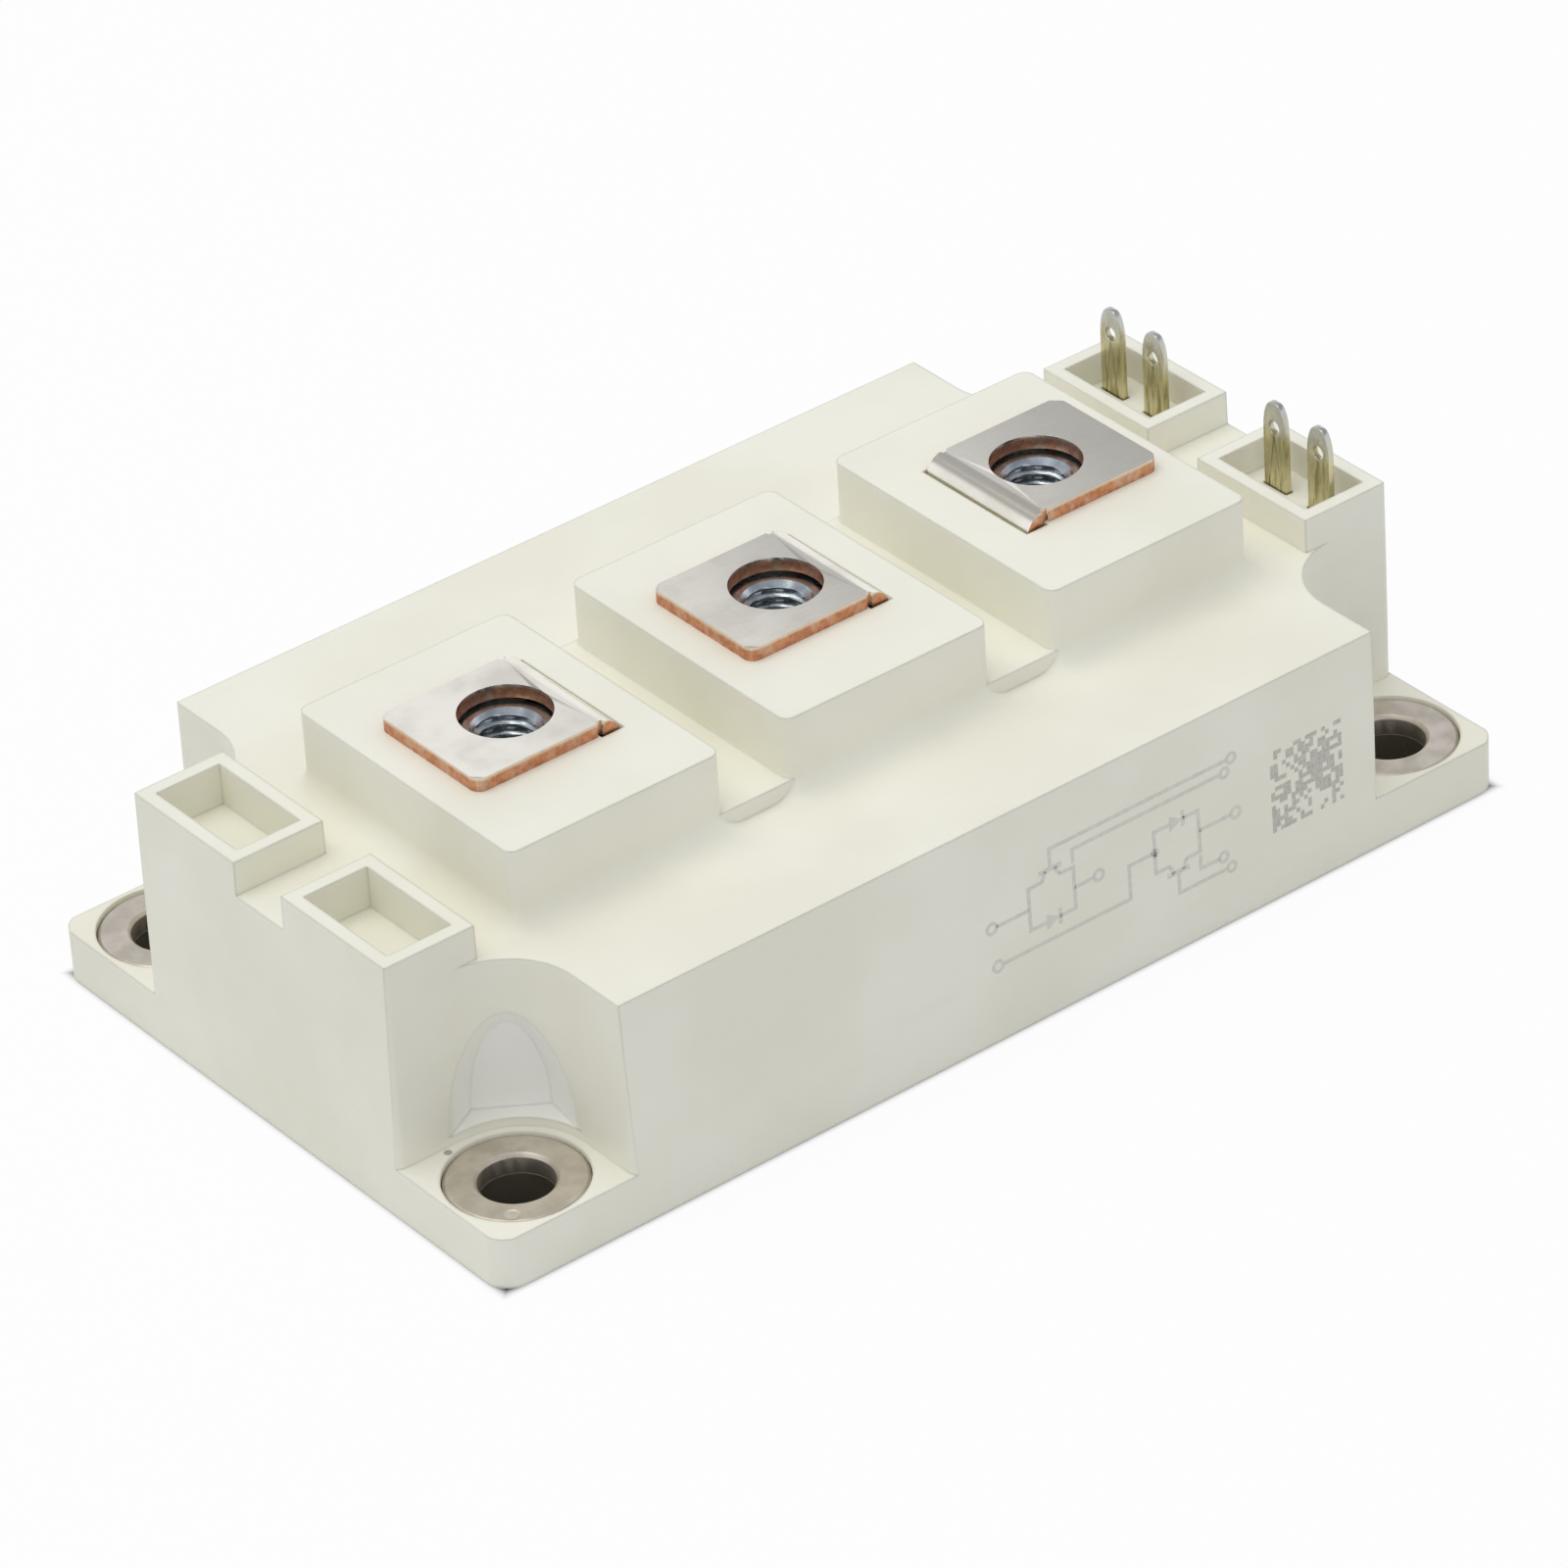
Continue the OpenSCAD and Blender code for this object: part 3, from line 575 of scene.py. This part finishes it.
def circuit(marks):
    """Two switches in a row with power leads at the ends and control leads to the right."""
    first, second, level = (4.2, 11.2), (17.6, 10.6), 16.0
    marks.loop(-2.2, first[1], 0.5)
    marks.line([(-1.7, first[1]), (first[0] - 2.4, first[1])])
    switch_symbol(marks, *first, lead_way=1)
    marks.line([(first[0] + 2.4, first[1]), (8.6, first[1])])
    marks.loop(9.2, first[1], 0.5)
    # middle lead, led under the first switch
    marks.line([(-1.2, 7.4), (12.4, 7.4), (12.4, second[1]), (second[0] - 2.4, second[1])])
    marks.loop(-1.8, 7.4, 0.5)
    marks.dot(second[0] - 2.4, second[1], 0.45)
    switch_symbol(marks, *second, lead_way=-1)
    marks.line([(second[0] + 2.4, second[1]), (23.4, second[1])])
    marks.loop(24.0, second[1], 0.5)
    # control leads
    marks.line([(first[0], 14.4), (first[0], level), (23.2, level)])
    marks.line([(first[0] + 2.4, 13.6), (first[0] + 2.4, level - 1.1), (22.4, level - 1.1)])
    marks.loop(23.8, level, 0.45)
    marks.loop(23.0, level - 1.1, 0.45)
    marks.line([(second[0], 7.4), (second[0], 5.6), (22.8, 5.6)])
    marks.line([(second[0] + 2.4, 8.2), (second[0] + 2.4, 6.9), (22.0, 6.9)])
    marks.loop(23.3, 5.6, 0.45)
    marks.loop(22.5, 6.9, 0.45)


def square_field(marks):
    """Square of small cells, each filled or left by a plain rule, that says nothing."""
    left, bottom, side, count = 27.9, 6.7, 7.9, 18
    cell = side / count
    inset = 0.06 * cell
    for i in range(count):
        for j in range(count):
            wave = math.sin(12.9898 * i + 78.233 * j + 3.1 * math.sin(i * j)) * 43758.5453
            if wave - math.floor(wave) < 0.56:
                x, z = left + i * cell, bottom + j * cell
                marks.patch([(x + inset, z + inset), (x + cell - inset, z + inset),
                             (x + cell - inset, z + cell - inset), (x + inset, z + cell - inset)])


def laser_print():
    faint = dull_solid("laser_mark", tone(214, 212, 203), tone(224, 222, 212), 0.55, 0.5 * MM)
    deep = dull_solid("laser_field", tone(186, 184, 174), tone(204, 202, 192), 0.55, 0.4 * MM)
    for name, draw, material in (("circuit_mark", circuit, faint),
                                 ("square_mark", square_field, deep)):
        piece = make_piece(name, lambda shape: draw(Print(shape)), material)
        film = piece.modifiers.new("film", "SOLIDIFY")
        film.thickness = 2 * PRINT_PROUD
        film.offset = 0


# ---- studio -----------------------------------------------------------------------

AMBIENT = 0.645
AIR_COLOUR = (0.965, 0.985, 1.06, 1.0)
FLOOR_SIZE = 6.0
FLOOR_GLOW = 0.94
# what mirrors see of the air: white below the first height, MIRROR_OVERHEAD above the second
MIRROR_HEIGHTS = (0.47, 0.63)
MIRROR_OVERHEAD = 0.42
LAMP_PLACE = (-0.2, 0.15, 1.1)
LAMP_SIZE = 0.9
LAMP_POWER = 4.9
LAMP_COLOUR = (1, 0.985, 0.93)
CAMERA_PLACE = (-0.3686, -0.4973, 0.4202)
CAMERA_DEGREES = (56.388, 3.071, -38.606)
FOCAL_LENGTH = 203.64


def floor_material(half_x, half_y):
    """White floor, painted dark under the module as painted shade. The camera and mirrors see it as a
    white background, except under the module.
    """
    material, tree, shader, place = new_material("floor_white")
    shader.inputs["Roughness"].default_value = 0.9
    split = add(tree, "ShaderNodeSeparateXYZ", {0: place}).outputs
    gap_x = maths(tree, "SUBTRACT", maths(tree, "ABSOLUTE", split["X"]), half_x)
    gap_y = maths(tree, "SUBTRACT", maths(tree, "ABSOLUTE", split["Y"]), half_y)
    outside = ease(tree, maths(tree, "MAXIMUM", gap_x, gap_y), -1.0 * MM, 0.5 * MM)
    # painted shade: the floor is painted dark under the module's footprint, white outside it
    floor_paint_with_painted_shade = blend(tree, outside, tone(60, 58, 54), tone(232, 232, 230))
    tree.links.new(floor_paint_with_painted_shade, shader.inputs["Base Color"])
    path = add(tree, "ShaderNodeLightPath").outputs
    seen = maths(tree, "MAXIMUM", path["Is Camera Ray"],
                 maths(tree, "MAXIMUM", path["Is Glossy Ray"], path["Is Transmission Ray"]))
    share = maths(tree, "MULTIPLY", maths(tree, "MULTIPLY", seen, outside), FLOOR_GLOW)
    glow = add(tree, "ShaderNodeEmission", {"Color": (1, 1, 1, 1), "Strength": 1.0})
    both = add(tree, "ShaderNodeMixShader", {0: share, 1: shader.outputs[0], 2: glow.outputs[0]})
    tree.links.new(both.outputs[0], tree.nodes["Material Output"].inputs["Surface"])
    return material


def make_floor():
    shape = bmesh.new()
    bmesh.ops.create_grid(shape, x_segments=1, y_segments=1, size=FLOOR_SIZE / 2)
    mesh = bpy.data.meshes.new("floor")
    shape.to_mesh(mesh)
    shape.free()
    mesh.materials.append(floor_material(cad_box[1].x, cad_box[1].y))
    floor = bpy.data.objects.new("floor", mesh)
    floor.location.z = cad_box[0].z
    scene.collection.objects.link(floor)


def make_world():
    """Even soft air: white to the camera, and in mirrors white low down and greyer overhead."""
    world = bpy.data.worlds.new("studio_air")
    world.use_nodes = True
    scene.world = world
    tree = world.node_tree
    path = add(tree, "ShaderNodeLightPath").outputs
    direction = add(tree, "ShaderNodeTexCoord").outputs["Generated"]
    height = add(tree, "ShaderNodeSeparateXYZ", {0: direction}).outputs["Z"]
    mirrored = ease(tree, height, *MIRROR_HEIGHTS, 1.0, MIRROR_OVERHEAD)
    background = tree.nodes["Background"]
    soft = add(tree, "ShaderNodeMix", {"Factor": path["Is Glossy Ray"], "A": AMBIENT,
                                       "B": mirrored}, data_type="FLOAT").outputs["Result"]
    clear = maths(tree, "MAXIMUM", path["Is Camera Ray"], path["Is Transmission Ray"])
    level = add(tree, "ShaderNodeMix", {"Factor": clear, "A": soft, "B": 1.0},
                data_type="FLOAT").outputs["Result"]
    tree.links.new(level, background.inputs["Strength"])
    background.inputs["Color"].default_value = AIR_COLOUR


def make_lamp():
    """Square soft lamp that faces the module."""
    lamp = bpy.data.lights.new("overhead_lamp", "AREA")
    lamp.size = LAMP_SIZE
    lamp.energy = LAMP_POWER
    lamp.color = LAMP_COLOUR
    holder = bpy.data.objects.new("overhead_lamp", lamp)
    holder.location = LAMP_PLACE
    aim = Vector((0, 0, 0.01)) - holder.location
    holder.rotation_mode = "QUATERNION"
    holder.rotation_quaternion = aim.to_track_quat("-Z", "Y")
    scene.collection.objects.link(holder)


def make_camera():
    """Long lens at the front left, looking down on the module."""
    lens = bpy.data.cameras.new("camera")
    lens.sensor_width = 36
    lens.lens = FOCAL_LENGTH
    camera = bpy.data.objects.new("camera", lens)
    camera.location = CAMERA_PLACE
    camera.rotation_euler = [math.radians(angle) for angle in CAMERA_DEGREES]
    lens.clip_start = 0.05
    lens.clip_end = 20
    scene.collection.objects.link(camera)
    scene.camera = camera


make_camera()
dress_case()
dress_terminals()
dress_inside()
dress_tabs()
make_nuts()
laser_print()
make_floor()
make_world()
make_lamp()

scene.view_settings.view_transform = "Standard"
